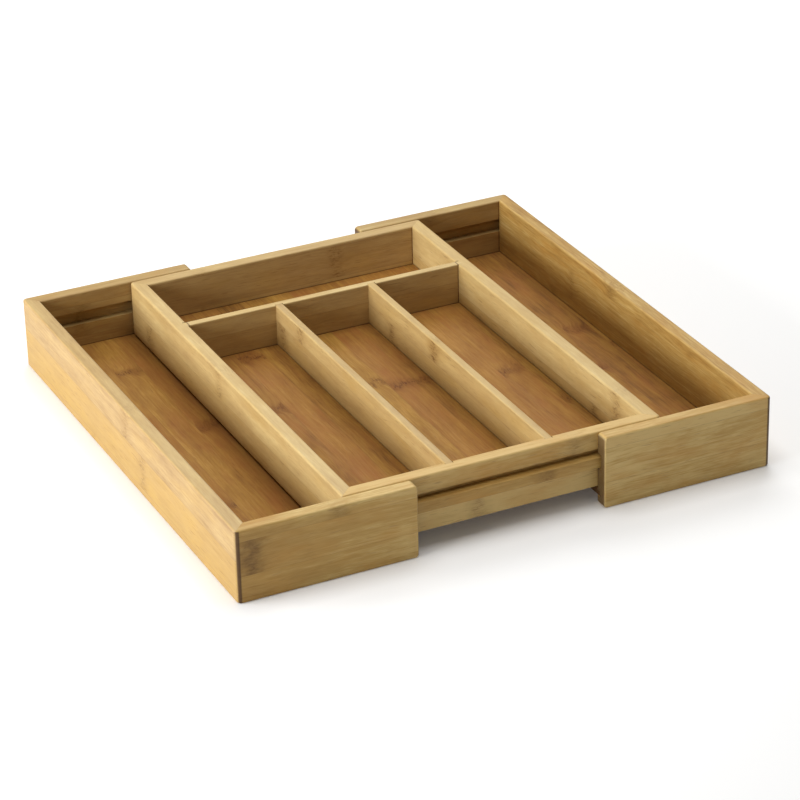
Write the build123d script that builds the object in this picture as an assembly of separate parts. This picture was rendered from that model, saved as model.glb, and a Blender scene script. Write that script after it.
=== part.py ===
from build123d import *
import os

# Expandable cutlery tray of glued bamboo board, pulled out to its full width.
# Sizes are in millimetres. +X is right, +Y is back and +Z is up. The origin is at the middle
# of the opened tray, on the surface that the two wings stand on.

# Overall sizes
tray_depth = 400.0       # front to back, over the arms of the wings
wing_height = 54.5       # a wing stands on its whole lower edge
travel = 70.0            # how far each wing pulls out

# Board thicknesses
wall_board = 10.6        # walls of the tray and of the wings
divider_board = 6.1      # dividers that run front to back
cross_board = 6.2        # divider that runs across
panel_board = 4.5        # floor panels

# Bays of the middle tray, clear sizes
bay_count = 3            # long bays side by side
bay_width = 69.5
cross_bay = 73.3         # bay behind the cross divider

# Levels
wing_lip = 6.0           # wing wall left under its floor panel
tray_lip = 5.7           # tray wall left under its floor panel
floor_gap = 1.5          # tray walls above the wing floors
rim_drop = 0.2           # tray rim below the wing rim

# Sliding fit between a wing arm and the tray
side_gap = 0.6           # arm to tray wall
slide_height = 10.5      # groove in the arm
slide_depth = 6.0
slide_drop = 15.6        # from the arm's rim down to the groove
rail_height = 8.4
slide_gap = 0.5          # rail to the sill of the groove
slide_bottom_gap = 1.8   # rail to the bottom of the groove
closed_gap = 1.2         # wing wall to tray wall, when closed
arm_gap = 1.2            # arm to arm, when closed

# Joints in the boards
panel_groove = 4.0       # how deep a floor panel sits in a wall
panel_play = 0.5         # room for the panel to swell, at the bottom of its groove
panel_setback = 1.0      # open edge of a wing floor, behind the ends of the arms
wall_housing = 3.0       # how deep a divider sits in a wall
cross_housing = 2.0      # how deep a long divider sits in the cross divider
rail_housing = 3.0       # how deep a rail sits in the tray wall
housing_gap = 3.9        # the housing is this much taller than the rail, and shows as a dark line
rail_setback = 5.0       # end of a rail to the side of the tray

# Eased edges
corner_round = 3.0       # outer upright corners
arm_round = 2.8          # upper and lower corners of an arm's free end
rim_ease = 1.5           # edges of the wings, and top edges of the tray walls
foot_chamfer = 0.8       # bottom edges of the tray walls
divider_ease = 1.0       # top edges of the dividers
rail_ease = 0.8          # edges of the rails and of the stop strips

# Stop strip under each side of the tray, and its screws
stop_width = 8.0
stop_end_gap = 10.0      # strip end to tray wall, front and back
stop_headroom = 1.0      # strip to the underside of the tray floor
stop_gap = 0.3           # strip to the lip that stops it, pulled out
screw_count = 2
screw_shank = 2.6        # diameter
screw_head = 5.4         # diameter
screw_cover = 1.0        # strip left above the screw's tip
screw_tip = 1.6          # length of the point
screw_gap = 0.05         # screw to wood, all round

# Cutters run past what they cut by this much
overrun = 5.0

# Long edges of a wing's side wall: inner and outer, top and bottom
long_edges = 4

# Sizes that follow from those above
tray_width = bay_count * bay_width + (bay_count - 1) * divider_board + 2 * wall_board
inner_depth = tray_depth - 2 * wall_board
centre_depth = inner_depth - 2 * side_gap
inside_width = tray_width - 2 * wall_board
inside_depth = centre_depth - 2 * wall_board
wing_floor_top = wing_lip + panel_board
tray_bottom = wing_floor_top + floor_gap
tray_floor_bottom = tray_bottom + tray_lip
tray_floor_top = tray_floor_bottom + panel_board
tray_rim = wing_height - rim_drop
cross_front = inside_depth / 2 - cross_bay - cross_board
closed_reach = tray_width / 2 + closed_gap + wall_board
wing_reach = closed_reach + travel
wing_inner = wing_reach - wall_board
arm_length = closed_reach - arm_gap / 2
arm_end = wing_reach - arm_length
slide_top = wing_height - slide_drop
slide_sill = slide_top - slide_height
rail_sill = slide_sill + slide_gap
rail_proud = slide_depth - slide_bottom_gap + side_gap
rail_length = tray_width - 2 * rail_setback
stop_height = floor_gap + tray_lip - stop_headroom
stop_face = inside_width / 2 - stop_gap
stop_length = inside_depth - 2 * stop_end_gap
divider_pitch = bay_width + divider_board


def block(low, high):
    """Box between two opposite corners."""
    size = [b - a for a, b in zip(low, high)]
    return Pos(*low) * Box(*size, align=(Align.MIN, Align.MIN, Align.MIN))


def eased(frame):
    """Frame with its rim rounded over and its lower edges chamfered, as finished after glue-up."""
    rim = frame.faces().sort_by(Axis.Z)[-1]
    frame = fillet(rim.edges(), rim_ease)
    foot = frame.faces().sort_by(Axis.Z)[0]
    return chamfer(foot.edges(), foot_chamfer)


def mitre_prism(face_x, depth):
    """Prism that holds the right-hand board of a frame, with a mitre plane at each end."""
    reach = 2 * wall_board
    outer_x, inner_x = face_x + overrun, face_x - reach
    outer_y, inner_y = depth / 2 + overrun, depth / 2 - reach
    outline = Polyline((outer_x, -outer_y), (outer_x, outer_y),
                       (inner_x, inner_y), (inner_x, -inner_y), close=True)
    return extrude(make_face(outline), wing_height + overrun)


def groove_cutter(half_x, half_y, bottom):
    """Plate that cuts the groove for a floor panel into the walls around it."""
    return block((-half_x, -half_y, bottom), (half_x, half_y, bottom + panel_board))


def divider_places():
    """Middle of each long divider across the tray."""
    first = -(bay_count - 2) * divider_pitch / 2
    return [first + divider_pitch * i for i in range(bay_count - 1)]


def tray_walls():
    """Four mitred walls of the middle tray, grooved and housed for what they hold."""
    outline = RectangleRounded(tray_width, centre_depth, corner_round)
    ring = extrude(outline - Rectangle(inside_width, inside_depth), tray_rim - tray_bottom)
    ring = eased(Pos(0, 0, tray_bottom) * ring)
    ring -= groove_cutter(inside_width / 2 + panel_groove, inside_depth / 2 + panel_groove,
                          tray_floor_bottom)
    for y in (-centre_depth / 2, centre_depth / 2):
        ring -= rail_blank(y, 0, rail_height + housing_gap)
    ring -= block((-inside_width / 2 - wall_housing, cross_front, tray_floor_bottom),
                  (inside_width / 2 + wall_housing, cross_front + cross_board, wing_height))
    for x in divider_places():
        ring -= block((x - divider_board / 2, -inside_depth / 2 - wall_housing, tray_floor_bottom),
                      (x + divider_board / 2, 0, wing_height))
    right_prism = mitre_prism(tray_width / 2, centre_depth)
    left_prism = mirror(right_prism, about=Plane.YZ)
    ends = (ring - right_prism - left_prism).solids().sort_by(Axis.Y)
    return {"front_wall": ends[0], "rear_wall": ends[-1],
            "left_wall": ring & left_prism, "right_wall": ring & right_prism}


def rail_blank(wall_y, proud, height):
    """Strip laid in the outer face of a tray wall, standing proud of it."""
    outward = 1 if wall_y > 0 else -1
    face_y, back_y = wall_y + outward * proud, wall_y - outward * rail_housing
    return block((-rail_length / 2, min(face_y, back_y), rail_sill),
                 (rail_length / 2, max(face_y, back_y), rail_sill + height))


def rail(wall_y):
    """Rail with the edges rounded that enter the groove."""
    strip = rail_blank(wall_y, rail_proud, rail_height)
    faces = strip.faces().sort_by(Axis.Y)
    face = faces[-1] if wall_y > 0 else faces[0]
    return fillet(face.edges(), rail_ease)


def tray_floor():
    """Floor panel of the middle tray, loose in the grooves of its walls."""
    reach = panel_groove - panel_play
    return groove_cutter(inside_width / 2 + reach, inside_depth / 2 + reach, tray_floor_bottom)


def eased_divider(low, high, along):
    """Divider board with both long top edges rounded over."""
    divider = block(low, high)
    top = divider.faces().sort_by(Axis.Z)[-1]
    return fillet(top.edges().filter_by(along), divider_ease)


def cross_divider():
    """Divider across the tray, housed in both side walls and housed for the long dividers."""
    reach = inside_width / 2 + wall_housing
    divider = eased_divider((-reach, cross_front, tray_floor_top),
                            (reach, cross_front + cross_board, tray_rim), Axis.X)
    for x in divider_places():
        divider -= block((x - divider_board / 2, cross_front - overrun, tray_floor_bottom),
                         (x + divider_board / 2, cross_front + cross_housing, wing_height))
    return divider


def long_divider(x):
    """Divider from the front wall to the cross divider, let into both."""
    return eased_divider((x - divider_board / 2, -inside_depth / 2 - wall_housing, tray_floor_top),
                         (x + divider_board / 2, cross_front + cross_housing, tray_rim), Axis.Y)


def wing_walls():
    """Side wall and both arms of the right wing, pulled out: mitred, grooved for floor and rails.

    A rounding runs on along edges that meet smoothly, so it is asked for only at the arms' ends
    and along the side wall, at its four long edges.
    """
    outline = Pos(arm_end + arm_length / 2, 0) * Rectangle(arm_length, tray_depth)
    hollow_length = wing_inner - arm_end + overrun
    hollow = Pos(wing_inner - hollow_length / 2, 0) * Rectangle(hollow_length, inner_depth)
    frame = extrude(outline - hollow, wing_height)
    frame = fillet(frame.edges().filter_by(Axis.Z).group_by(Axis.X)[-1], corner_round)
    frame = fillet(frame.edges().filter_by(Axis.Y).group_by(Axis.X)[0], arm_round)
    ends = frame.edges().filter_by(Axis.Z).group_by(Axis.X)[0]
    sides = frame.edges().filter_by(Axis.Y).sort_by(SortBy.LENGTH)[-long_edges:]
    frame = fillet(ends + sides, rim_ease)
    frame -= block((arm_end - overrun, -inner_depth / 2 - panel_groove, wing_lip),
                   (wing_inner + panel_groove, inner_depth / 2 + panel_groove, wing_floor_top))
    prism = mitre_prism(wing_reach, tray_depth)
    arms = (frame - prism) - block((arm_end - overrun, -inner_depth / 2 - slide_depth, slide_sill),
                                   (wing_reach, inner_depth / 2 + slide_depth, slide_top))
    front_arm, rear_arm = arms.solids().sort_by(Axis.Y)
    return {"side_wall": frame & prism, "front_arm": front_arm, "rear_arm": rear_arm}


def stop_screws(gap):
    """Screws through the wing floor into the stop strip, or with a gap, the cutters for them."""
    length = panel_board + stop_height - screw_cover + gap
    pitch = stop_length / screw_count
    first = -(screw_count - 1) * pitch / 2
    x = stop_face - stop_width / 2
    return [Pos(x, first + pitch * i, wing_lip) * screw(gap, length) for i in range(screw_count)]


def screw(gap, length):
    """Countersunk screw that points up, grown by a gap all round."""
    head, shank = screw_head / 2 + gap, screw_shank / 2 + gap
    outline = Polyline((0, 0), (head, 0), (shank, head - shank),
                       (shank, length - screw_tip), (0, length), close=True)
    return revolve(make_face(Plane.XZ * outline), Axis.Z)


def wing_floor():
    """Floor panel of the right wing, in the grooves of its three walls."""
    reach = inner_depth / 2 + panel_groove - panel_play
    panel = block((arm_end + panel_setback, -reach, wing_lip),
                  (wing_inner + panel_groove - panel_play, reach, wing_floor_top))
    return panel - stop_screws(screw_gap)


def stop_strip():
    """Strip on the wing floor, under the tray. It meets the lip of the tray wall, pulled out."""
    strip = block((stop_face - stop_width, -stop_length / 2, wing_floor_top),
                  (stop_face, stop_length / 2, wing_floor_top + stop_height))
    strip = fillet(strip.faces().sort_by(Axis.Z)[-1].edges(), rail_ease)
    return strip - stop_screws(screw_gap)


def wing():
    """Parts of the right wing."""
    parts = wing_walls()
    parts["floor_panel"] = wing_floor()
    parts["stop_strip"] = stop_strip()
    parts["stop_screws"] = Compound(children=stop_screws(0))
    return parts


def tray():
    """Parts of the middle tray."""
    parts = tray_walls()
    parts["tray_floor"] = tray_floor()
    parts["cross_divider"] = cross_divider()
    for number, x in enumerate(divider_places(), start=1):
        parts[f"long_divider_{number}"] = long_divider(x)
    parts["front_rail"] = rail(-centre_depth / 2)
    parts["rear_rail"] = rail(centre_depth / 2)
    return parts


def main():
    os.makedirs("parts", exist_ok=True)
    parts = tray()
    for name, shape in wing().items():
        parts[f"right_{name}"] = shape
        parts[f"left_{name}"] = mirror(shape, about=Plane.YZ)
    for name, shape in parts.items():
        export_step(shape, f"parts/{name}.step")
    print("opened width", 2 * wing_reach, "closed width", 2 * closed_reach, "parts", len(parts))


main()
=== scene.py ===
# %% [markdown]
# # An expandable bamboo cutlery tray
# The real object is a drawer tray of glued bamboo board. Its middle part has three long bays and
# one cross bay, and a wing slides out on each side and opens one more bay.
# The CAD model already gives every board its true size, its mitres and its sliding rails, so the
# boards' meshes stay as they are. This lesson gives them their finish: the strips, the fibres and
# the nodes of the cane, the glue lines and the lacquer. It also makes the screws under the wings.
# Everything is in metres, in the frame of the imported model.

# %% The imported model
import bpy
import bmesh
import math
import random
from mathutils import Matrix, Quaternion, Vector


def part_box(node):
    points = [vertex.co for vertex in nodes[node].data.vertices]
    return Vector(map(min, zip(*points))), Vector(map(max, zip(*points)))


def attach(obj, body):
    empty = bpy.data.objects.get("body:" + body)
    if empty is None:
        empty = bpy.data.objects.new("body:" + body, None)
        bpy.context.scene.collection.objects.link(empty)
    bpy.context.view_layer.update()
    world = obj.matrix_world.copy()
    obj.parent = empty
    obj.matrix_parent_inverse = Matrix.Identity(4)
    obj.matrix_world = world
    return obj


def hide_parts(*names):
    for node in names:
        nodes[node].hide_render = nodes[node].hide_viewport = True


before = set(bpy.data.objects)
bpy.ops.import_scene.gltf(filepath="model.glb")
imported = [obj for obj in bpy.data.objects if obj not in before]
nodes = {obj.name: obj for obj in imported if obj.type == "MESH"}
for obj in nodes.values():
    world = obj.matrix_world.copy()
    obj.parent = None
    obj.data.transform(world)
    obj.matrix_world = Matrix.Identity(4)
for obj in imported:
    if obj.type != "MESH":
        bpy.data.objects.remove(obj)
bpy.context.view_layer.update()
print("CAD nodes:", ", ".join(sorted(nodes)))

# %% [markdown]
# ## Colours
# A colour picker shows sRGB values, while shader sockets want linear light. One function turns the
# first into the second, so that every colour in this file can be read and compared as hex.

# %% Colour from a hex value
def colour(text):
    """Linear colour, with its alpha, from an sRGB hex value such as "#C8A060"."""
    channels = [int(text[i:i + 2], 16) / 255 for i in (1, 3, 5)]
    linear = [c / 12.92 if c <= 0.04045 else ((c + 0.055) / 1.055) ** 2.4 for c in channels]
    return (*linear, 1.0)


print("linear light of a honey tone:", [round(c, 3) for c in colour("#C8A060")])

# %% [markdown]
# ## One way to add a node
# A node tree can be drawn by hand in the editor or written out. Written out, it stays readable
# when one small function does the repeated work: it makes the node, sets its properties and fills
# its inputs, where a value is a number, a colour, another node or one of its sockets. A list
# holds several nodes for one socket that takes them all, such as Join Geometry's.

# %% Add a node
MM = 1000.0              # in a metre
MATH = "ShaderNodeMath"
RANGE = "ShaderNodeMapRange"
NOISE = "ShaderNodeTexNoise"
MIX = "ShaderNodeMix"
RAMP = "ShaderNodeValToRGB"
COMBINE = "ShaderNodeCombineXYZ"
SEPARATE = "ShaderNodeSeparateXYZ"
fading = {"To Min": 1.0, "To Max": 0.0}     # for a mask that fades as its value grows


def add(tree, kind, inputs=None, **settings):
    """Add a node of this kind to the tree, with these properties and these inputs."""
    node = tree.nodes.new(kind)
    for name, value in settings.items():
        setattr(node, name, value)
    for key, given in (inputs or {}).items():
        if isinstance(key, int):
            socket = node.inputs[key]
        else:
            socket = next(s for s in node.inputs if s.enabled and s.name == key)
        for value in given if isinstance(given, list) else [given]:
            if isinstance(value, bpy.types.Node):
                value = next(s for s in value.outputs if s.enabled)
            if isinstance(value, bpy.types.NodeSocket):
                tree.links.new(value, socket)
            else:
                socket.default_value = value
    return node


print("short names stand for", ", ".join((MATH, RANGE, NOISE, MIX, RAMP, COMBINE, SEPARATE)))

# %% [markdown]
# ## Bamboo board, step 1: the strips
# A bamboo cane is a thin hollow tube, so no board can be sawn from it. The tube is split, planed
# into flat strips 20 to 26 mm wide, and the strips are glued side by side. Each strip comes from
# another cane or another part of it, so each has its own tone, and its nodes stand elsewhere.
# A Brick texture could draw strips, but it gives no control over one strip. Here the distance
# across the board is divided by the strip width: the whole part counts the strips, and a colour
# ramp with constant steps works as a table, with one entry for each strip. Its red channel holds
# the place of the strip's nodes, its green channel the strip's tone, its blue channel how dark
# the patch round its nodes is, and its alpha how warm the strip is. A new ramp comes with two
# stops, so only the third and later ones are added.

# %% Strips of a board
internode = 340.0        # mm from one node of the cane to the next
glue_line = 0.35         # mm, drawn wider than the real 0.1 mm so that it shows at all
strip_step = 37.0        # mm from one strip to the next in the noise, so that they differ
board_step = 211.0       # mm from one board to the next in the noise


def strips(tree, board):
    """Places along and across the strips in mm, and what the table says of the strip there."""
    point = add(tree, "ShaderNodeTexCoord").outputs["Object"]
    scaled = add(tree, "ShaderNodeVectorMath", {0: point, "Scale": MM}, operation="SCALE")
    axes = add(tree, SEPARATE, {0: scaled})
    along = axes.outputs[board["grain"]]
    across = axes.outputs[board["stack"]]
    through = axes.outputs[({"X", "Y", "Z"} - {board["grain"], board["stack"]}).pop()]
    count = len(board["strips"])
    from_edge = add(tree, MATH, {0: across, 1: board["edge"]}, operation="SUBTRACT")
    rows = add(tree, MATH, {0: from_edge, 1: board["width"]}, operation="DIVIDE")
    row = add(tree, MATH, {0: rows}, operation="FLOOR")
    in_row = add(tree, MATH, {0: rows}, operation="FRACT")
    middle = add(tree, MATH, {0: row, 1: 0.5}, operation="ADD")
    share = add(tree, MATH, {0: middle, 1: count}, operation="DIVIDE")
    table = add(tree, RAMP, {"Fac": share})
    table.color_ramp.interpolation = "CONSTANT"
    stops = table.color_ramp.elements
    for i, (place, tone, patch, warmth) in enumerate(board["strips"]):
        stop = stops[i] if i < 2 else stops.new(i / count)
        stop.position = i / count
        stop.color = ((place / internode) % 1.0, tone, patch, warmth)
    entry = add(tree, "ShaderNodeSeparateColor", {"Color": table})
    own = add(tree, MATH, {0: row, 1: strip_step, 2: board["seed"] * board_step},
              operation="MULTIPLY_ADD")
    depth = add(tree, MATH, {0: through, 1: own}, operation="ADD")
    return dict(along=along, across=across, depth=depth, in_row=in_row,
                node_place=entry.outputs["Red"], tone=entry.outputs["Green"],
                patch=entry.outputs["Blue"], warmth=table.outputs["Alpha"])


print("a node of the cane every", internode, "mm, a glue line", glue_line, "mm wide")

# %% [markdown]
# ## Bamboo board, step 2: blots, the raw material of a grain
# Noise is round: its blots are as long as they are wide. Grain isn't, so its space is squeezed
# first: a long way along the strip counts as little, and a short way across it as much. Each blot
# is then drawn out to a real length and width in mm, and a blot 60 mm long and 2 mm wide is a
# streak. A Wave texture would give streaks too, but it repeats too evenly for a plant.

# %% Blots of a real size
noise_reach = (0.25, 0.75)  # nearly all values of the noise lie in here, and are spread to 0..1
noise_roughness = 0.6


def blots(tree, strip, size, detail, across=None):
    """Noise from 0 to 1, in blots of this length along and this width across the strip."""
    length, width = size
    place = {0: add(tree, MATH, {0: strip["along"], 1: 1 / length}, operation="MULTIPLY"),
             1: add(tree, MATH, {0: across or strip["across"], 1: 1 / width},
                    operation="MULTIPLY"),
             2: add(tree, MATH, {0: strip["depth"], 1: 1 / width}, operation="MULTIPLY")}
    noise = add(tree, NOISE, {"Vector": add(tree, COMBINE, place), "Scale": 1.0,
                              "Detail": detail, "Roughness": noise_roughness})
    return add(tree, RANGE, {"Value": noise, "From Min": noise_reach[0],
                             "From Max": noise_reach[1]})


print("noise from", noise_reach[0], "to", noise_reach[1], "gives blots from 0 to 1")

# %% [markdown]
# ## Bamboo board, step 3: the nodes of the cane
# Every 200 to 400 mm the cane has a node, the ring that shows on its outside. Planed flat, a node
# is a band across the strip where the fibres swerve and curl: short dark dashes and thin curls,
# with a darker patch round them. It could be painted from a picture, but a picture repeats. Here
# the table gives each strip the place of its nodes, Ping-Pong gives the distance to the nearest
# one, and noise bends that distance so that the band has no straight side. The curls are the
# height lines of another noise: Ping-Pong of a few times its value is near zero along each line.

# %% Sizes of a node of the cane
node_core = 8.0          # mm, half the length of the band of dashes and curls
node_halo = 14.0         # mm, how far the darker patch reaches
dash_size = (4.2, 1.2)   # mm along and across, one dash
curl_size = (8.0, 5.5)   # mm along and across, one curl
curl_count = 4.0         # height lines between the lowest and the highest noise
curl_line = 0.14         # width of a line, as a share of the way to the next one
node_bend = 10.0         # mm that the band strays, in all
bend_size = (12.0, 6.0)  # mm along and across, from one bend to the next
gap_size = (16.0, 9.0)   # mm along and across, the gaps that break the band
dash_shows = (0.48, 0.72)  # blots where a dash starts to show, and where it is whole
curl_depth = 0.8         # how dark a curl is, where a dash is 1
gap_ends = (0.3, 0.6)    # blots where a gap is deepest, and where the band is whole again
gap_leaves = 0.45        # what a gap leaves of the band
print("a node is", 2 * node_core, "mm long, the dark patch round it", 2 * node_halo, "mm")

# %% Nodes of a strip
def cane_nodes(tree, strip):
    """The dashes and curls of the nodes, and the patch round them, each from 0 to 1."""
    bend = blots(tree, strip, bend_size, detail=2.5)
    bent = add(tree, MATH, {0: bend, 1: node_bend, 2: strip["along"]}, operation="MULTIPLY_ADD")
    centred = add(tree, MATH, {0: bent, 1: node_bend / 2}, operation="SUBTRACT")
    place = add(tree, MATH, {0: strip["node_place"], 1: internode}, operation="MULTIPLY")
    away = add(tree, MATH, {0: centred, 1: place}, operation="SUBTRACT")
    distance = add(tree, MATH, {0: away, 1: internode / 2}, operation="PINGPONG")
    core, halo = (add(tree, RANGE, {"Value": distance, "From Max": reach, **fading},
                      interpolation_type="SMOOTHSTEP") for reach in (node_core, node_halo))
    dashes = add(tree, RANGE, {"Value": blots(tree, strip, dash_size, detail=2.0),
                               "From Min": dash_shows[0], "From Max": dash_shows[1]})
    height = add(tree, MATH, {0: blots(tree, strip, curl_size, detail=1.5), 1: curl_count},
                 operation="MULTIPLY")
    line = add(tree, MATH, {0: height, 1: 0.5}, operation="PINGPONG")
    curls = add(tree, RANGE, {"Value": line, "From Max": curl_line, "To Min": curl_depth,
                              "To Max": 0.0})
    drawn = add(tree, MATH, {0: dashes, 1: curls}, operation="MAXIMUM")
    whole = add(tree, RANGE, {"Value": blots(tree, strip, gap_size, detail=1.0),
                              "From Min": gap_ends[0], "From Max": gap_ends[1],
                              "To Min": gap_leaves})
    kept = add(tree, MATH, {0: core, 1: whole}, operation="MULTIPLY")
    marks = add(tree, MATH, {0: drawn, 1: kept}, operation="MULTIPLY")
    return marks, halo


print("dashes of", *dash_size, "mm and curls of", *curl_size, "mm")

# %% [markdown]
# ## Bamboo board, step 4: the fibres
# Bamboo has no year rings. Its grain is bundles of straight fibres, which show as fine long
# streaks, darker where the bundles are dense. Under them lie soft clouds, where the cane grew
# denser or took the steam better. Four sizes of blots are laid over each other: bands, clouds,
# streaks and single dark bundles. All wander a little to the side, and more beside a node.

# %% Fibres of a strip
band_size = (150.0, 7.0)      # mm along and across, soft bands in a strip
cloud_size = (34.0, 13.0)     # mm, clouds
warm_size = (52.0, 17.0)      # mm, clouds of a warmer colour
streak_size = (48.0, 2.2)     # mm, streaks
fibre_size = (14.0, 1.0)      # mm, single bundles; real ones are 0.3 mm, too fine to show
sway_size = (70.0, 140.0)     # mm, from one sway of the grain to the next
node_sway = 5.0               # mm that the fibres bend beside a node


def fibres(tree, strip, halo, sway):
    """Four sheets of blots, each from 0 to 1: bands, clouds, streaks and fibre bundles."""
    drift = blots(tree, strip, sway_size, detail=2.5)
    reach = add(tree, MATH, {0: halo, 1: node_sway, 2: sway}, operation="MULTIPLY_ADD")
    aside = add(tree, MATH, {0: drift, 1: reach, 2: strip["across"]}, operation="MULTIPLY_ADD")
    sizes = ((band_size, 2.0), (cloud_size, 3.0), (streak_size, 3.0), (fibre_size, 1.5))
    return [blots(tree, strip, size, detail, aside) for size, detail in sizes]


print("bands, clouds, streaks and bundles in mm:", band_size, cloud_size, streak_size, fibre_size)

# %% [markdown]
# ## Bamboo board, step 5: glue lines, edges, ends and rims
# The strips meet in hairline glue lines. The open fibres of a sawn end drink the lacquer and turn
# dark, and the ends are made darker still as painted shade, like the shade that falls on the free
# ends of the front arms. The round of an edge is painted a little paler, a painted highlight where
# it catches the light. The Bevel node could find edges, but it is slow to bake. On boards that
# stand square, an edge is simply where the surface points along no axis, and an end is where it
# points along the grain, so the normal alone tells both. Only near the top of a board does the
# upward part of the normal mean a rim, whose tone is set apart from the faces' as painted light,
# lighter or darker as the light falls on it; lower down it is the sill of a groove, which keeps
# the tone of the faces.

# %% Glue lines and turned faces
round_part = (0.99, 0.85)  # largest part of the normal, where a round starts and is whole
end_part = (0.6, 0.95)   # part of the normal along the grain, the same for an end
top_part = (0.4, 0.8)    # part of the normal that points up, the same for a rim
rim_blur = 1.0           # mm of height over which a face turns into a rim


def glue_lines(tree, strip, width):
    """1 in the glue line between two strips."""
    off_centre = add(tree, MATH, {0: strip["in_row"], 1: 0.5}, operation="SUBTRACT")
    to_side = add(tree, MATH, {0: off_centre}, operation="ABSOLUTE")
    edge = 0.5 - glue_line / width
    return add(tree, RANGE, {"Value": to_side, "From Min": edge, "From Max": 0.5})


def turned_faces(tree, strip, board):
    """1 on the rounds of the edges, on the sawn ends, and on the rim of a board, each."""
    normal = add(tree, "ShaderNodeNewGeometry").outputs["True Normal"]
    size = add(tree, "ShaderNodeVectorMath", {0: normal}, operation="ABSOLUTE")
    axes = add(tree, SEPARATE, {0: size})
    pair = add(tree, MATH, {0: axes.outputs["X"], 1: axes.outputs["Y"]}, operation="MAXIMUM")
    most = add(tree, MATH, {0: pair, 1: axes.outputs["Z"]}, operation="MAXIMUM")
    first, last = (axes.outputs[axis] for axis in (board["sawn"][0], board["sawn"][-1]))
    cut = add(tree, MATH, {0: first, 1: last}, operation="MAXIMUM")
    edges, ends, up = (add(tree, RANGE, {"Value": value, "From Min": part[0],
                                         "From Max": part[1]})
                       for value, part in ((most, round_part), (cut, end_part),
                                           (axes.outputs["Z"], top_part)))
    high = add(tree, RANGE, {"Value": strip["across"], "From Min": board["rim_low"] - rim_blur,
                             "From Max": board["rim_low"]})
    return edges, ends, add(tree, MATH, {0: up, 1: high}, operation="MULTIPLY")


print("a rim starts where a face points up by", top_part[0], "and is whole at", top_part[1])

# %% [markdown]
# ## Bamboo board, step 6: seams and mitres
# Where a board stands on a floor panel or runs into a wall, a thin dark seam shows on its inside:
# the panel lies loose in its grooves, and shade falls in the gap. It could be modelled as a groove
# of a tenth of a millimetre, but here the shade is painted: a mask by distance darkens the wood
# there, without a single new face.

# %% Seams
# painted shade: the seam is drawn as a dark band of this width
seam_size = 1.1          # mm, the dark seam; the real gap is half as wide
seam_core = 0.4          # share of the seam that is fully dark
seam_inset = (0.3, 0.1)  # mm inside a wall's face, where a seam starts and where it is whole


def frame_depths(tree, corner):
    """How deep in its frame, whose corners are at +-corner, a point lies along X and along Y."""
    point = add(tree, "ShaderNodeTexCoord").outputs["Object"]
    axes = add(tree, SEPARATE, {0: point})
    depths = []
    for axis, reach in zip("XY", corner):
        size = add(tree, MATH, {0: axes.outputs[axis]}, operation="ABSOLUTE")
        depths.append(add(tree, MATH, {0: size, 1: -MM, 2: reach}, operation="MULTIPLY_ADD"))
    return depths


def seams(tree, strip, depths, board):
    """Painted shade: 1 inside a board, where it meets the floor panel or the end of its bay."""
    least = add(tree, MATH, {0: depths[0], 1: depths[1]}, operation="MINIMUM")
    inside = add(tree, RANGE, {"Value": least, "From Min": board["wall"] - seam_inset[0],
                               "From Max": board["wall"] - seam_inset[1]})
    drawn = []
    for value, start in ((strip["across"], board["floor_top"]),
                         (depths["XY".index(board["grain"])], board["bay_end"])):
        away = add(tree, MATH, {0: value, 1: start}, operation="SUBTRACT")
        drawn.append(add(tree, RANGE, {"Value": away, "From Min": seam_size * seam_core,
                                       "From Max": seam_size, **fading}))
    either = add(tree, MATH, {0: drawn[0], 1: drawn[1]}, operation="MAXIMUM")
    return add(tree, MATH, {0: either, 1: inside}, operation="MULTIPLY")


print("seams of", seam_size, "mm")

# %% [markdown]
# At the corners of the tray and of the wings the boards meet in a mitre. Its glue line is hardly
# seen on top, but beside the rounded corner the fibres are cut slantwise, and turn dark as on a
# sawn end. Both are masks by distance too, and the dark band stays off the top.

# %% Mitres
mitre_line = 0.8         # mm across the glue line of a mitre
band_middle = 1.8        # mm from the corner along the short board to its dark band
band_half = 1.15         # mm, half the width of that band
band_blur = 0.4          # mm, half the soft edge of that band
corner_size = 5.0        # mm into the frame, past which there is no band
corner_blur = 1.0        # mm, the soft end of the band


def mitres(tree, depths, rim):
    """1 in a mitre's glue line, and 1 in its dark band beside the outer corner."""
    apart = add(tree, MATH, {0: depths[0], 1: depths[1]}, operation="SUBTRACT")
    distance = add(tree, MATH, {0: apart}, operation="ABSOLUTE")
    line = add(tree, RANGE, {"Value": distance, "From Max": mitre_line, **fading})
    off_middle = add(tree, MATH, {0: depths[0], 1: band_middle}, operation="SUBTRACT")
    off = add(tree, MATH, {0: off_middle}, operation="ABSOLUTE")
    band = add(tree, RANGE, {"Value": off, "From Min": band_half - band_blur,
                             "From Max": band_half + band_blur, **fading})
    outside = add(tree, RANGE, {"Value": depths[1], "From Min": corner_size - corner_blur,
                                "From Max": corner_size, **fading})
    upright = add(tree, MATH, {0: 1.0, 1: rim}, operation="SUBTRACT")
    side = add(tree, MATH, {0: outside, 1: upright}, operation="MULTIPLY")
    return line, add(tree, MATH, {0: band, 1: side}, operation="MULTIPLY")


print("dark bands of", 2 * band_half, "mm at the mitres")

# %% [markdown]
# ## Bamboo board, step 7: the colour of the wood
# The wood is bamboo, steamed to a light caramel and planed. To the eye that is a warm blond with
# long streaks. The blots choose a colour from a ramp, round the tone that the table gives. The
# walls of the tray are mostly of paler canes than the front arms, and the rear arms are of duller
# ones. One side wall shows its fibres more. The floor panels are carbonised bamboo, steamed
# longer, which turns the sugar in it brown. Their lacquer has soaked in, so they shine less than
# the walls. Ready-made wood textures exist, but they have year rings, which bamboo lacks.

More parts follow.
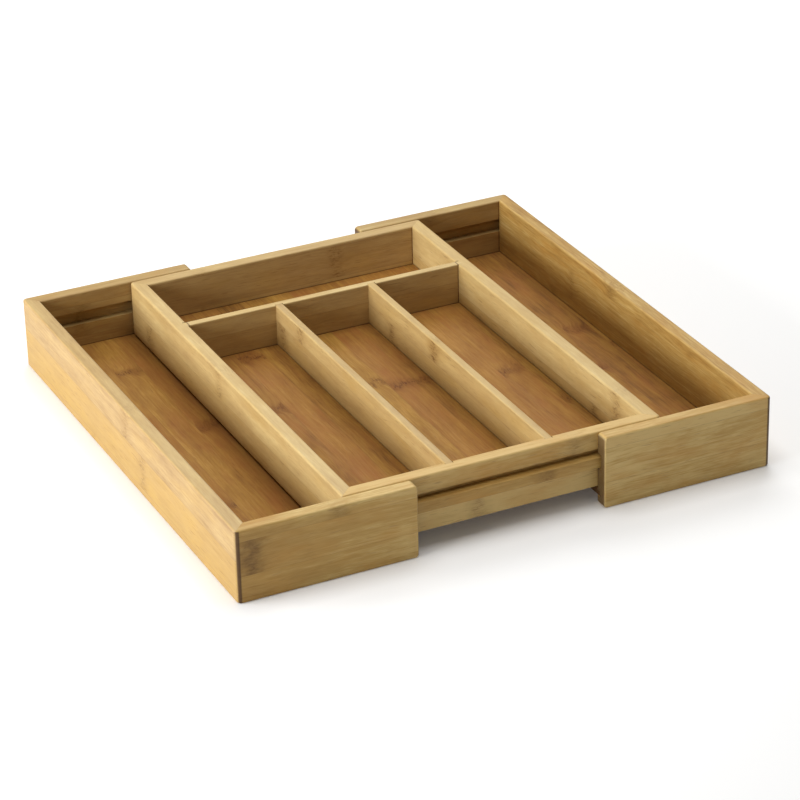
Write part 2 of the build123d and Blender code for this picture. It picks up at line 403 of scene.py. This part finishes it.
# %% Palettes and the colour of the wood
# Of the four sheets of blots, grain says how much each counts. Drawn says how strongly the marks
# of a node show, coat how thick the lacquer lies, and rough how dull and how glossy it gets.
pale = {"ramp": ["#96764A", "#B19361", "#C4A972", "#D8C189"], "warm": "#B6934F",
        "patch": "#9C7A45", "marks": "#6E4A24", "drawn": 0.9, "grain": (0.26, 0.28, 0.18, 0.24),
        "coat": 0.06, "rough": (0.60, 0.48), "specular": 0.3}
honey = {"ramp": ["#8A642D", "#A48042", "#B69554", "#D0B577"], "warm": "#B8863A",
         "patch": "#7C5C2A", "marks": "#63431A", "drawn": 0.6, "grain": (0.30, 0.32, 0.28, 0.34),
         "coat": 0.06, "rough": (0.60, 0.48), "specular": 0.3}
lined = dict(honey, grain=(0.30, 0.32, 0.50, 0.55))
straw = dict(honey, ramp=["#86663A", "#9F8152", "#B19862", "#CAB788"], warm="#B28A4A")
caramel = {"ramp": ["#67451E", "#8C6128", "#A37933", "#BB9044"], "warm": "#9C6230",
           "patch": "#764518", "marks": "#5E3310", "drawn": 1.0,
           "grain": (0.34, 0.38, 0.28, 0.30), "coat": 0.0, "rough": (0.75, 0.62),
           "specular": 0.25}


def wood(tree, strip, sheets, rim, board):
    """Colour of the wood: the tone of the strip, shifted on the rim as painted light, and the
    blots, looked up in the palette.
    """
    canes = board["canes"]
    from_middle = add(tree, MATH, {0: strip["along"], 1: board["middle"]}, operation="SUBTRACT")
    foot = add(tree, MATH, {0: from_middle, 1: board["slope"], 2: strip["tone"]},
               operation="MULTIPLY_ADD")
    # painted light: the rim is shifted lighter or darker than the faces, as the light falls on it
    shade = add(tree, MATH, {0: rim, 1: board["rim"], 2: foot}, operation="MULTIPLY_ADD")
    for sheet, weight in zip(sheets, canes["grain"]):
        centred = add(tree, MATH, {0: sheet, 1: 0.5}, operation="SUBTRACT")
        shade = add(tree, MATH, {0: centred, 1: weight, 2: shade}, operation="MULTIPLY_ADD")
    base = add(tree, RAMP, {"Fac": shade})
    stops, last = base.color_ramp.elements, len(canes["ramp"]) - 1
    for i, text in enumerate(canes["ramp"]):
        stop = stops[i] if i < 2 else stops.new(i / last)
        stop.position = i / last
        stop.color = colour(text)
    return base


print("ramps run from", pale["ramp"][0], "to", pale["ramp"][-1], "in the palest canes")

# %% [markdown]
# ## Bamboo board, step 8: what lies over the wood
# Warm clouds, dark bundles of fibres, nodes, glue lines, ends that are partly painted shade, edges
# with a painted highlight, seams of painted shade and corners are laid over the wood one by one,
# each as a mask, a strength and a colour. That reads like a list of coats, and any one can be
# turned down without touching the others. A rim is sanded more than a face, so most of the dark
# marks are gone there.

# %% Colours and strengths of the layers
fibre_brown, fibre_shows = "#7A5026", 1.0
glue_brown, glue_shows = "#6E4A26", 0.3
# partly painted shade: end grain is dark, and made darker still for the shade on the free ends of
# the front arms
end_grain_and_shade_brown, end_shows = "#4C341A", 0.85
# painted highlight: the round of every edge is made paler, where it would catch the light
painted_edge_highlight, painted_edge_highlight_shows = "#E4CC98", 0.06
# painted shade in the seams between boards and floor panels
seam_shade_brown, seam_shade_shows = "#4A270E", 0.7
corner_brown = "#43290F"
mitre_shows = 0.1
patch_shows = 0.8
spot_blots = (0.45, 0.95)  # blots where a warm cloud starts, and where it is at its warmest
spot_warmth = 0.4
bundle_starts = 0.70     # blots above which a bundle of fibres is dark
bundle_depth = 0.5
marks_least = 0.4        # how clear the marks of a node are, where its patch isn't dark at all
marks_whole = 0.8        # darkness of a patch, from which its marks are quite clear
print("glue shows", glue_shows, "of its colour, ends", end_shows, "and seams", seam_shade_shows)

# %% What is laid over the wood
def overlays(tree, strip, sheets, cane_marks, faces, board):
    """Masks, strengths and colours from the lowest to the uppermost, and the marks as shown."""
    canes = board["canes"]
    marks, halo = cane_marks
    edges, ends, rim = faces
    spots = add(tree, RANGE, {"Value": blots(tree, strip, warm_size, detail=3.0),
                              "From Min": spot_blots[0], "From Max": spot_blots[1],
                              "To Max": spot_warmth})
    warm = add(tree, MATH, {0: spots, 1: strip["warmth"]}, operation="ADD", use_clamp=True)
    dark = add(tree, RANGE, {"Value": sheets[-1], "From Min": bundle_starts, "From Max": 1.0,
                             "To Max": bundle_depth})
    off_rim = add(tree, RANGE, {"Value": rim, "To Min": 1.0, "To Max": board["rim_marks"]})
    clear = add(tree, RANGE, {"Value": strip["patch"], "From Max": marks_whole,
                              "To Min": marks_least})
    dark, shown, darker_halo = (
        add(tree, MATH, {0: mask, 1: factor}, operation="MULTIPLY")
        for mask, factor in ((dark, off_rim), (clear, off_rim), (halo, strip["patch"])))
    marks = add(tree, MATH, {0: marks, 1: shown}, operation="MULTIPLY")
    patch = add(tree, MATH, {0: darker_halo, 1: off_rim}, operation="MULTIPLY")
    layers = [(warm, 1.0, canes["warm"]), (dark, fibre_shows, fibre_brown),
              (patch, patch_shows, canes["patch"]), (marks, canes["drawn"], canes["marks"]),
              (glue_lines(tree, strip, board["width"]), glue_shows, glue_brown),
              # the ends carry partly painted shade, the edges a painted highlight
              (ends, end_shows, end_grain_and_shade_brown), (edges, painted_edge_highlight_shows, painted_edge_highlight)]
    if "corner" in board:
        depths = frame_depths(tree, board["corner"])
        # painted shade in the seams
        layers.append((seams(tree, strip, depths, board), seam_shade_shows, seam_shade_brown))
        if board["mitred"]:
            line, band = mitres(tree, depths, rim)
            layers += [(line, mitre_shows, glue_brown), (band, board["band"], corner_brown)]
    return layers, marks


print("bundles are dark above", bundle_starts, "of the way from their palest to their darkest")

# %% [markdown]
# ## Bamboo board, step 9: the lacquer
# The boards are sanded and sealed with a thin satin lacquer. To the eye that is hardly any mirror
# image, and a soft sheen along the grain. Roughness and bump come from the same blots as the
# colours, so that they agree with what they show: a dense streak is glossier, and a mark of a
# node lies a little lower. The relief is far too low to be worth a mesh, so a bump does.

# %% Finish of a board
relief_depth = 0.0002    # m, from the lowest to the highest fibre
relief_strength = 0.3
coat_roughness = 0.3
lacquer_ior = 1.5


def bamboo(name, board):
    """Laminated bamboo, sanded and lacquered, for one board."""
    material = bpy.data.materials.new(name)
    material.use_nodes = True
    tree = material.node_tree
    tree.nodes.clear()
    canes = board["canes"]
    strip = strips(tree, board)
    marks, halo = cane_nodes(tree, strip)
    sheets = fibres(tree, strip, halo, board["sway"])
    faces = turned_faces(tree, strip, board)
    skin = wood(tree, strip, sheets, faces[-1], board)
    layers, marks = overlays(tree, strip, sheets, (marks, halo), faces, board)
    for mask, weight, text in layers:
        amount = add(tree, MATH, {0: mask, 1: weight}, operation="MULTIPLY")
        skin = add(tree, MIX, {"Factor": amount, "A": skin, "B": colour(text)},
                   data_type="RGBA")
    streaks, bundles = sheets[2:]
    dull, glossy = canes["rough"]
    rough = add(tree, RANGE, {"Value": streaks, "To Min": dull, "To Max": glossy})
    relief = add(tree, MATH, {0: bundles, 1: marks}, operation="SUBTRACT")
    bump = add(tree, "ShaderNodeBump", {"Height": relief, "Strength": relief_strength,
                                        "Distance": relief_depth})
    shader = add(tree, "ShaderNodeBsdfPrincipled",
                 {"Base Color": skin, "Roughness": rough, "Normal": bump, "IOR": lacquer_ior,
                  "Specular IOR Level": canes["specular"], "Coat Weight": canes["coat"],
                  "Coat Roughness": coat_roughness})
    add(tree, "ShaderNodeOutputMaterial", {"Surface": shader})
    return material


print("the relief of the fibres is", relief_depth * MM, "mm deep")

# %% [markdown]
# ## The boards
# Each board is cut from its own glued panel, so each gets a table of its own. Where the
# photograph shows a node or the edge of a strip, the table puts it there. The other strips get
# places and tones from a generator with a fixed seed, so that every run gives the same tray.

# %% Kinds of board
walls = {"front_wall": "X", "rear_wall": "X", "left_wall": "Y", "right_wall": "Y",
         "cross_divider": "X", "long_divider_1": "Y", "long_divider_2": "Y",
         "front_rail": "X", "rear_rail": "X"}     # the axis that the grain runs along
panels = ["tray_floor", "left_floor_panel", "right_floor_panel"]
palette = {"right_side_wall": lined, "front_wall": honey, "front_rail": honey}
for side in ("left", "right"):
    walls[f"{side}_side_wall"] = walls[f"{side}_stop_strip"] = "Y"
    walls[f"{side}_front_arm"] = walls[f"{side}_rear_arm"] = "X"
    palette[f"{side}_front_arm"], palette[f"{side}_rear_arm"] = honey, straw
palette.update(dict.fromkeys(panels, caramel))
wavy = {"right_wall", "long_divider_1", "long_divider_2"}     # their fibres sway more
wavy_sway, calm_sway = 5.0, 2.5     # mm
wall_strip, panel_strip = 26.0, 20.0     # mm, widths of the strips
rim_reach = 5.0          # mm from the top of a board; what points up below it is no rim
rim_keeps = 0.3          # share of the dark marks that the sanded rim of a wall keeps
print("boards:", len(walls), "and floor panels:", len(panels))

# %% What the photograph shows of each board
# Lower edge of the lowest strip in mm, then for each strip from there: place of a node in mm
# along the board, tone, darkness of the patch round the node, warmth
seen = {
    "left_front_arm": (-6.0, [(40.0, 0.50, 0.2, 0.1), (-192.0, 0.44, 1.0, 0.1),
                              (-128.0, 0.56, 0.4, 0.0)]),
    "right_front_arm": (-6.0, [(20.0, 0.54, 0.2, 0.1), (40.0, 0.53, 0.2, 0.1),
                               (25.0, 0.88, 0.2, 0.15)]),
    "left_side_wall": (-20.0, [(60.0, 0.38, 0.2, 0.6), (-36.0, 0.35, 0.4, 0.6),
                               (-6.0, 0.48, 0.5, 0.0)]),
    "right_side_wall": (-8.0, [(100.0, 0.50, 0.2, 0.2), (70.0, 0.50, 0.2, 0.1),
                               (10.0, 0.42, 0.4, 0.0)]),
    "left_wall": (7.0, [(153.0, 0.50, 0.4, 0.2), (20.0, 0.54, 0.2, 0.0)]),
    "right_wall": (5.0, [(-115.0, 0.48, 0.5, 0.4), (-145.0, 0.54, 0.4, 0.15)]),
    "long_divider_1": (16.0, [(88.0, 0.40, 0.5, 0.2), (56.0, 0.54, 0.5, 0.1)]),
    "long_divider_2": (12.0, [(60.0, 0.48, 0.5, 0.2), (-10.0, 0.46, 0.8, 0.2)]),
    "front_wall": (3.0, [(-20.0, 0.78, 0.3, 0.15), (54.0, 0.62, 0.3, 0.3)]),
    "front_rail": (20.0, [(29.0, 0.52, 0.5, 0.1)]),
}
# For a place across a floor panel in mm: how far along it stands the node that is seen there
panel_seen = {
    "left_floor_panel": {-154.0: 130.0, -125.0: 24.0, -162.0: -92.0},
    "right_floor_panel": {187.0: 36.0, 168.0: -31.0},
    "tray_floor": {86.0: -21.0, 104.0: -78.0, 35.0: -5.0, 20.0: -4.0, -62.0: 88.0, -80.0: 4.0},
}
# Strips of a floor that the photograph shows lighter or darker than the generator makes them
panel_lighter = {"right_floor_panel": {175.0: -0.2}, "tray_floor": {-8.0: 0.12, 92.0: -0.08}}
# How much lighter each board is than its table says, and then its rim than its faces. Both are
# partly the board's own tone and partly painted light and shade: a face that lies in shade, as on
# the rear wall, the cross divider and the right rear arm, is made darker, and a rim lighter or
# darker than its faces as the light falls on it.
lighter = {
    "cross_divider": (-0.14, 0.33), "rear_wall": (-0.20, 0.14), "front_wall": (0.28, 0.10),
    "left_wall": (0.08, -0.02), "right_wall": (0.19, -0.10), "front_rail": (-0.05, 0.0),
    "long_divider_1": (-0.03, -0.10), "long_divider_2": (0.0, 0.08),
    "left_side_wall": (-0.22, 0.15), "right_side_wall": (0.07, -0.04),
    "right_front_arm": (0.30, -0.50), "left_front_arm": (0.08, 0.08),
    "right_rear_arm": (-0.25, 0.42), "left_rear_arm": (-0.08, 0.08),
    "left_floor_panel": (0.04, 0.0),
}
# A cane is darker towards its foot: how much the tone changes in a mm along these boards
slope = {"left_front_arm": 0.0032, "right_front_arm": -0.001}
# How far the nodes of a board stand from where the generator puts them, in mm
moved = {"rear_wall": 47.0}
print("boards with a table of their own:", len(seen) + len(panel_seen))

# %% [markdown]
# The tables and the generator together give each board what its material needs to know. The
# order of the draws is part of the look: one draw more or less would move every node that comes
# after it.

# %% What the CAD and the tables say
def box_mm(node):
    """Lowest and highest corners of a CAD node, in mm."""
    low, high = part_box(node)
    return [x * MM for x in low], [x * MM for x in high]


def known(facts, node, start, width):
    """What a table says of the strip that starts here on a floor panel, or nothing."""
    return next((value for x, value in facts.get(node, {}).items()
                 if start <= x < start + width), None)


print("corners of the left wall in mm:", *box_mm("left_wall"))

# %% Facts of a board
draw = random.Random(7)
tone_range = (0.40, 0.62)
patch_range = (0.1, 0.4)
warmth_range = (0.0, 0.3)
panel_patch = 0.6        # darkness of the patch round a node that is seen on a floor panel


def board_facts(node, seed):
    """Grain, strips and colours of one board."""
    low, high = box_mm(node)
    is_panel = node in panels
    grain, stack = ("Y", "X") if is_panel else (walls[node], "Z")
    along, axis = "XYZ".index(grain), "XYZ".index(stack)
    width = panel_strip if is_panel else wall_strip
    edge, table = seen.get(node, (low[axis] - draw.uniform(0.0, width), []))
    table = list(table)
    for row in range(len(table), math.ceil((high[axis] - edge) / width)):
        place = draw.uniform(0.0, internode)
        patch = draw.uniform(*patch_range)
        tone = draw.uniform(*tone_range)
        start = edge + row * width
        if known(panel_seen, node, start, width) is not None:
            place, patch = known(panel_seen, node, start, width), panel_patch
        tone += known(panel_lighter, node, start, width) or 0.0
        table.append((place, tone, patch, draw.uniform(*warmth_range)))
    face, rim = lighter.get(node, (0.0, 0.0))
    table = [(place + moved.get(node, 0.0), tone + face, patch, warmth)
             for place, tone, patch, warmth in table]
    return {"grain": grain, "stack": stack, "edge": edge, "width": width, "seed": seed,
            "canes": palette.get(node, pale), "strips": table, "slope": slope.get(node, 0.0),
            "middle": (low[along] + high[along]) / 2, "rim": rim,
            "rim_low": high[axis] - rim_reach, "rim_marks": 1.0 if is_panel else rim_keeps,
            "sawn": grain + stack if is_panel else grain,
            "sway": wavy_sway if node in wavy else calm_sway}


print("strips of the generator have tones from", *tone_range)

# %% [markdown]
# A board of a frame, the tray's or a wing's, also needs its frame's corner and the height of its
# floor, for the mitres and the seams. Then each board gets its material in the slots that its CAD
# mesh already has, so that neither the mesh nor its place is touched.

# %% Frames, and the finish of every board
def frame_facts(side_wall, end_wall, panel, band):
    """Corner, wall thickness and height of the floor of a frame, and how dark its bands are."""
    low, high = box_mm(side_wall)
    return {"corner": [high[0], box_mm(end_wall)[1][1]], "wall": high[0] - low[0],
            "floor_top": box_mm(panel)[1][2], "band": band}


tray_band, wing_band = 0.3, 0.9     # how dark the bands beside the mitres are
no_seam = -1000.0        # mm, a place where no board is
tray_facts = frame_facts("right_wall", "rear_wall", "tray_floor", tray_band)
wing_facts = frame_facts("right_side_wall", "right_rear_arm", "right_floor_panel", wing_band)
for seed, node in enumerate(sorted([*walls, *panels])):
    facts = board_facts(node, seed)
    if node.endswith(("_side_wall", "_arm")):
        facts.update(wing_facts, mitred=True)
    elif node.endswith(("_wall", "_divider", "_1", "_2")):
        facts.update(tray_facts, mitred=node.endswith("_wall"))
    facts["bay_end"] = facts["wall"] if facts["grain"] == "X" and "wall" in facts else no_seam
    finish = bamboo(f"laminated_bamboo_lacquered_{node}", facts)
    for slot in nodes[node].material_slots:
        slot.material = finish
print("boards finished:", len(walls) + len(panels))

# %% [markdown]
# ## The screws under the wings
# Two countersunk screws hold each stop strip from below, so only their heads show, in the wing's
# underside. A screw is round, so it starts as a cylinder of a few rings, and each ring is moved
# to its own height and radius: head, neck, shank and point. A thread is wound round it, and a
# cross is cut into the head. Screws repeat, so Geometry Nodes make one and set it on the points
# of a line, each turned by its own angle, as a screwdriver leaves it. A screw modelled by hand
# would do too, but here each size is an input that can be changed, and its length, its place
# and the distance to the next one are read from the CAD.

# %% Tree of the countersunk screws
screw_sides = 32
thread_steps = 16        # points in one turn of the thread
tip_share = 0.1          # radius of the point's flat end, as a share of the core's
cross_reach = 1.3        # length of a block of the cross, for a head radius of 1
sizes = {"Head radius": 0.00245, "Head edge": 0.00025, "Shank radius": 0.0013, "Point": 0.0016,
         "Pitch of thread": 0.0011, "Depth of thread": 0.0003, "Depth of cross": 0.0009,
         "Width of cross": 0.0006}     # m
tree = bpy.data.node_groups.new("countersunk_screws", "GeometryNodeTree")
inputs = {}
for name in sizes:
    inputs[name] = tree.interface.new_socket(name, in_out="INPUT", socket_type="NodeSocketFloat")
for name, kind in (("Length", "Float"), ("Spacing", "Float"), ("Count", "Int"),
                   ("Seed", "Int"), ("First place", "Vector"), ("Metal", "Material")):
    inputs[name] = tree.interface.new_socket(name, in_out="INPUT",
                                             socket_type=f"NodeSocket{kind}")
tree.interface.new_socket("Geometry", in_out="OUTPUT", socket_type="NodeSocketGeometry")
given = add(tree, "NodeGroupInput").outputs
print("inputs of the screw tree:", ", ".join(inputs))

# %% [markdown]
# Each ring of the body is a pair of a height and a radius, some given and some worked out. A
# point of the plain cylinder knows its ring by its height, and an Index Switch picks the pair. A
# curve that is turned round an axis would need the same numbers, and caps on top.

# %% Body of a screw
core = add(tree, MATH, {0: given["Shank radius"], 1: given["Depth of thread"]},
           operation="SUBTRACT")
neck = add(tree, MATH, {0: given["Head radius"], 1: core}, operation="SUBTRACT")
shank_end = add(tree, MATH, {0: given["Length"], 1: given["Point"]}, operation="SUBTRACT")
tip = add(tree, MATH, {0: core, 1: tip_share}, operation="MULTIPLY")
rings = [(0.0, given["Head radius"]), (given["Head edge"], given["Head radius"]), (neck, core),
         (shank_end, core), (given["Length"], tip)]
plain = add(tree, "GeometryNodeMeshCylinder", {"Vertices": screw_sides, "Radius": 1.0,
                                               "Side Segments": len(rings) - 1, "Depth": 1.0})
spot = add(tree, "GeometryNodeInputPosition")
up = add(tree, SEPARATE, {0: spot}).outputs["Z"]
ring = add(tree, MATH, {0: up, 1: len(rings) - 1, 2: (len(rings) - 1) / 2 + 0.5},
           operation="MULTIPLY_ADD")
picked = []
for part in (0, 1):
    choice = tree.nodes.new("GeometryNodeIndexSwitch")
    choice.data_type = "FLOAT"
    for _ in rings[2:]:
        choice.index_switch_items.new()
    tree.links.new(add(tree, MATH, {0: ring}, operation="FLOOR").outputs[0],
                   choice.inputs["Index"])
    for i, values in enumerate(rings):
        value = values[part]
        socket = choice.inputs[1 + i]
        if isinstance(value, float):
            socket.default_value = value
        else:
            tree.links.new(value if isinstance(value, bpy.types.NodeSocket)
                           else value.outputs[0], socket)
    picked.append(choice)
wide = add(tree, COMBINE, {0: picked[1], 1: picked[1]})
round_ = add(tree, "ShaderNodeVectorMath", {0: spot, 1: wide}, operation="MULTIPLY")
high = add(tree, COMBINE, {2: picked[0]})
placed = add(tree, "ShaderNodeVectorMath", {0: round_, 1: high}, operation="ADD")
body = add(tree, "GeometryNodeSetPosition", {"Geometry": plain, "Position": placed})
print("rings of a screw:", len(rings))

# %% [markdown]
# The thread is a triangle swept along a spiral, and the cross is two blocks that a Boolean takes
# out of the head. The tree ends in Realize Instances and Set Material, because the export drops
# instances. Each wing gets its screws as one plain mesh, made from the modifier's result.

# %% Thread, cross and line of screws
shank = add(tree, MATH, {0: shank_end, 1: neck}, operation="SUBTRACT")
turns = add(tree, MATH, {0: shank, 1: given["Pitch of thread"]}, operation="DIVIDE")
spiral = add(tree, "GeometryNodeCurveSpiral",
             {"Resolution": thread_steps, "Rotations": turns, "Start Radius": core,
              "End Radius": core, "Height": shank})
wedge = add(tree, "GeometryNodeCurvePrimitiveCircle",
            {"Resolution": 3, "Radius": given["Depth of thread"]})
thread = add(tree, "GeometryNodeCurveToMesh",
             {"Curve": spiral, "Profile Curve": wedge.outputs["Curve"], "Fill Caps": True})
thread = add(tree, "GeometryNodeTransform",
             {"Geometry": thread, "Translation": add(tree, COMBINE, {2: neck})})
long = add(tree, MATH, {0: given["Head radius"], 1: cross_reach}, operation="MULTIPLY")
deep = add(tree, MATH, {0: given["Depth of cross"], 1: 2.0},     # half of a block is outside
           operation="MULTIPLY")
arms = [add(tree, "GeometryNodeMeshCube",
            {"Size": add(tree, COMBINE, dict(enumerate(size)))})
        for size in ((long, given["Width of cross"], deep), (given["Width of cross"], long, deep))]
headed = add(tree, "GeometryNodeMeshBoolean",
             {"Mesh 1": body, "Mesh 2": [arm.outputs["Mesh"] for arm in arms]},
             operation="DIFFERENCE", solver="EXACT")
screw = add(tree, "GeometryNodeJoinGeometry", {0: [headed, thread]})
line = add(tree, "GeometryNodeMeshLine",
           {"Count": given["Count"], "Start Location": given["First place"],
            "Offset": add(tree, COMBINE, {1: given["Spacing"]})})
turned = add(tree, "FunctionNodeRandomValue", {"Max": math.pi, "Seed": given["Seed"]},
             data_type="FLOAT")
many = add(tree, "GeometryNodeInstanceOnPoints",
           {"Points": line, "Instance": screw, "Rotation": add(tree, COMBINE, {2: turned})})
real = add(tree, "GeometryNodeRealizeInstances", {"Geometry": many})
done = add(tree, "GeometryNodeSetMaterial", {"Geometry": real, "Material": given["Metal"]})
add(tree, "NodeGroupOutput", {"Geometry": done})
print("nodes in the screw tree:", len(tree.nodes))

# %% [markdown]
# ## Zinc-plated steel
# Such screws are steel with a bright zinc coat, a few thousandths of a millimetre thick. To the
# eye that is a cool light grey metal with cloudy spots, where the coat is thinner or has gone
# dull, and a reflection that is soft, not mirror-like.

# %% Finish of the screws
zinc_spot = 1.2          # mm, from one cloudy spot to the next
zinc_relief = 0.0001     # m
zinc_rough = (0.28, 0.5)
zinc = bpy.data.materials.new("zinc_plated_steel_screw")
zinc.use_nodes = True
zinc.node_tree.nodes.clear()
point = add(zinc.node_tree, "ShaderNodeTexCoord").outputs["Object"]
spots = add(zinc.node_tree, NOISE, {"Vector": point, "Scale": MM / zinc_spot, "Detail": 4.0})
grey = add(zinc.node_tree, MIX, {"Factor": spots, "A": colour("#D2D4D8"),
                                 "B": colour("#9C9EA0")}, data_type="RGBA")
dull = add(zinc.node_tree, RANGE, {"Value": spots, "To Min": zinc_rough[0],
                                   "To Max": zinc_rough[1]})
pits = add(zinc.node_tree, "ShaderNodeBump", {"Height": spots, "Strength": 0.2,
                                              "Distance": zinc_relief})
metal = add(zinc.node_tree, "ShaderNodeBsdfPrincipled",
            {"Base Color": grey, "Metallic": 1.0, "Roughness": dull, "Normal": pits})
add(zinc.node_tree, "ShaderNodeOutputMaterial", {"Surface": metal})
print("a cloudy spot every", zinc_spot, "mm")

# %% [markdown]
# A modifier runs the tree on an empty mesh, with the inputs of one wing, and its result is kept
# as a mesh. The screws replace the plain ones of the CAD model and move with their wing.

# %% The screws of each wing
screws_in_wing = 2
for seed, side in enumerate(("left", "right")):
    node = f"{side}_stop_screws"
    low, high = (Vector(corner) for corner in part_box(node))
    radius = (high.x - low.x) / 2
    values = dict(sizes, **{"Count": screws_in_wing, "Seed": seed, "Metal": zinc,
                            "Spacing": high.y - low.y - 2 * radius,
                            "Length": high.z - low.z,
                            "First place": (low.x + radius, low.y + radius, low.z)})
    holder = bpy.data.objects.new("holder", bpy.data.meshes.new("holder"))
    bpy.context.scene.collection.objects.link(holder)
    maker = holder.modifiers.new("screws", "NODES")
    maker.node_group = tree
    for name, value in values.items():
        maker[inputs[name].identifier] = value
    solid = holder.evaluated_get(bpy.context.evaluated_depsgraph_get())
    mesh = bpy.data.meshes.new_from_object(solid)
    holder.modifiers.remove(maker)
    bpy.data.objects.remove(holder)
    mesh.name = f"{side}_wing_screws"
    piece = bpy.data.objects.new(f"{side}_wing_screws", mesh)
    bpy.context.scene.collection.objects.link(piece)
    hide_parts(node)
    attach(piece, f"{side}_wing")
    print(piece.name, "faces:", len(mesh.polygons))

# %% [markdown]
# ## Floor, light and camera
# The object was photographed on a white table, with a strong soft light low on its left, softer
# ones above and behind it, and hardly any from the right: the table is nearly free of shadow
# behind and on the left, and grey in front. Four softboxes and a pale world do the same. Their
# strengths were found by rendering each light alone and mixing the pictures until the tones of
# the table and the boards agreed. The world is a little warm, as the shade under the tray is in
# the photograph. The table glows faintly, as paper that was lit a little more evenly than four
# lamps can do.

# %% Floor
floor_size = 6.0         # m, from the middle to each side
floor_glow = 0.047       # strength of the faint glow
mesh = bpy.data.meshes.new("studio_floor")
build = bmesh.new()
bmesh.ops.create_grid(build, x_segments=1, y_segments=1, size=floor_size)
build.to_mesh(mesh)
build.free()
floor = bpy.data.objects.new("studio_floor", mesh)
bpy.context.scene.collection.objects.link(floor)
paper = bpy.data.materials.new("white_paper_floor")
paper.use_nodes = True
paper.node_tree.nodes.clear()
sheen = add(paper.node_tree, "ShaderNodeBsdfPrincipled",
            {"Base Color": colour("#F2F2F2"), "Roughness": 0.9, "Specular IOR Level": 0.1,
             "Emission Color": (1.0, 1.0, 1.0, 1.0), "Emission Strength": floor_glow})
add(paper.node_tree, "ShaderNodeOutputMaterial", {"Surface": sheen})
mesh.materials.append(paper)
print("floor:", round(2 * max(corner.co.x for corner in mesh.vertices), 1), "m wide")

# %% Light
softboxes = [
    # name, degrees round from the right towards the back, degrees up, metres away, size, watts
    ("left_softbox", 178, 18, 1.3, (1.15, 0.45), 19.9),
    ("top_softbox", 0, 90, 1.8, (1.2, 1.2), 20.6),
    ("back_softbox", 58, 45, 1.7, (1.1, 0.8), 12.7),
    ("right_softbox", -8, 18, 1.7, (1.1, 0.5), 1.5),
]
world_strength = 0.136
world_tint = (1.0, 0.98, 0.90, 1.0)     # linear

for name, round_, up, away, (width, height), watts in softboxes:
    turn, tilt = math.radians(round_), math.radians(up)
    towards = Vector((math.cos(tilt) * math.cos(turn), math.cos(tilt) * math.sin(turn),
                      math.sin(tilt)))
    lamp = bpy.data.lights.new(name, "AREA")
    lamp.shape = "RECTANGLE"
    lamp.size, lamp.size_y = width, height
    lamp.energy = watts
    box = bpy.data.objects.new(name, lamp)
    box.location = towards * away
    box.rotation_mode = "QUATERNION"
    box.rotation_quaternion = (-towards).to_track_quat("-Z", "Y")
    bpy.context.scene.collection.objects.link(box)

world = bpy.data.worlds.new("studio")
world.use_nodes = True
world.node_tree.nodes.clear()
glow = add(world.node_tree, "ShaderNodeBackground",
           {"Color": world_tint, "Strength": world_strength})
add(world.node_tree, "ShaderNodeOutputWorld", {"Surface": glow})
bpy.context.scene.world = world
bpy.context.scene.view_settings.view_transform = "Standard"
print("softboxes:", len(softboxes), "and a world of strength", world_strength)

# %% [markdown]
# The camera stands where the one of the photograph stood. It could be placed by eye, but here
# its place, its turn and its lens were solved together with the sizes of the tray, from the edges
# in the photograph, so that the render lies over it.

# %% Camera
camera_place = Vector((-0.88834, -1.90868, 1.09252))
looks_at = Vector((-0.00641, -0.03927, 0.03))
camera_roll = 1.4090     # degrees, clockwise
camera_lens = 146.83     # mm, on a sensor 36 mm wide

lens = bpy.data.cameras.new("camera")
lens.lens = camera_lens
camera = bpy.data.objects.new("camera", lens)
camera.location = camera_place
camera.rotation_mode = "QUATERNION"
level = (looks_at - camera_place).to_track_quat("-Z", "Y")
camera.rotation_quaternion = level @ Quaternion((0, 0, 1), math.radians(-camera_roll))
bpy.context.scene.collection.objects.link(camera)
bpy.context.scene.camera = camera
print("camera", round((looks_at - camera_place).length, 2), "m away")
